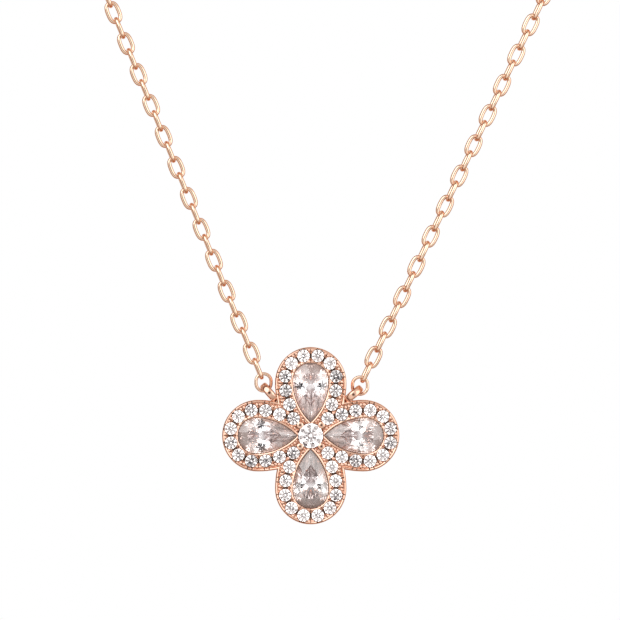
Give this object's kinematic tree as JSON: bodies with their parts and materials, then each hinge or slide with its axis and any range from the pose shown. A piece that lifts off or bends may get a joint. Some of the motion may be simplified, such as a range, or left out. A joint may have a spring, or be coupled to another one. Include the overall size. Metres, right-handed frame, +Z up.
{
  "type": "flower pendant necklace",
  "caption": "Flower pendant with pear-cut petals, a round centre stone and a pave border, hung by soldered bails from the end rings of a fine cable chain with a clasp.",
  "frame": {"origin": "middle of the clasp at the nape, where the necklace rests on the back of the neck", "axes": "+Z up, the flower faces -Y, +X to the viewer's right"},
  "size_m": [0.1114, 0.1088, 0.1224],
  "materials": {
    "setting_gold": "polished rose gold",
    "chain_gold": "polished rose gold",
    "clasp_gold": "polished rose gold",
    "pear_stone": "polished faceted stone",
    "round_stone": "polished faceted stone",
    "pave_stone": "polished faceted stone"
  },
  "bodies": {
    "chain": {"chain_back_left": "chain_gold", "chain_back_right": "chain_gold", "clasp": "clasp_gold", "chain_front_left": "chain_gold", "chain_front_right": "chain_gold", "end_ring_left": "chain_gold", "end_ring_right": "chain_gold"},
    "pendant": {"flower_setting": "setting_gold", "pear_stone_top": "pear_stone", "pear_stone_right": "pear_stone", "pear_stone_bottom": "pear_stone", "pear_stone_left": "pear_stone", "centre_stone": "round_stone", "pave_stones": "pave_stone"}
  },
  "joints": [
    {"name": "pendant_swing", "type": "hinge", "parent": "chain", "child": "pendant", "pos_m": [0, -0.107, -0.10925], "axis": [0.9997, 0, -0.0244], "range_deg": [-60, 60]}
  ]
}
